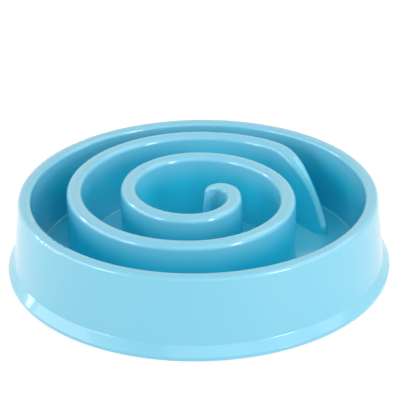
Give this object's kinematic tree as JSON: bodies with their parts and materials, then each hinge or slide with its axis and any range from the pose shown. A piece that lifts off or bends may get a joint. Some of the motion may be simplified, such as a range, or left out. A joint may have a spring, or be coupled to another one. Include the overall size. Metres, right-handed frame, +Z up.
{
  "type": "slow feeder bowl",
  "caption": "Round pet bowl with a flared skirt, a rounded rim and a spiral ridge that winds out from a hook at the centre and ramps down to the floor, on push-in rubber feet.",
  "frame": {"origin": "on the floor under the middle of the bowl, level with the bottoms of the feet", "axes": "+Z up through the bowl, -Y towards the front of the picture, +X to the right"},
  "size_m": [0.2, 0.2, 0.041],
  "materials": {
    "shell": "pale sky-blue injection-moulded polypropylene with a gloss surface",
    "feet": "matt grey moulded thermoplastic rubber"
  },
  "bodies": {
    "root": {"bowl_shell": "shell", "foot_front_left": "feet", "foot_front_right": "feet", "foot_back_left": "feet", "foot_back_right": "feet"}
  },
  "joints": []
}
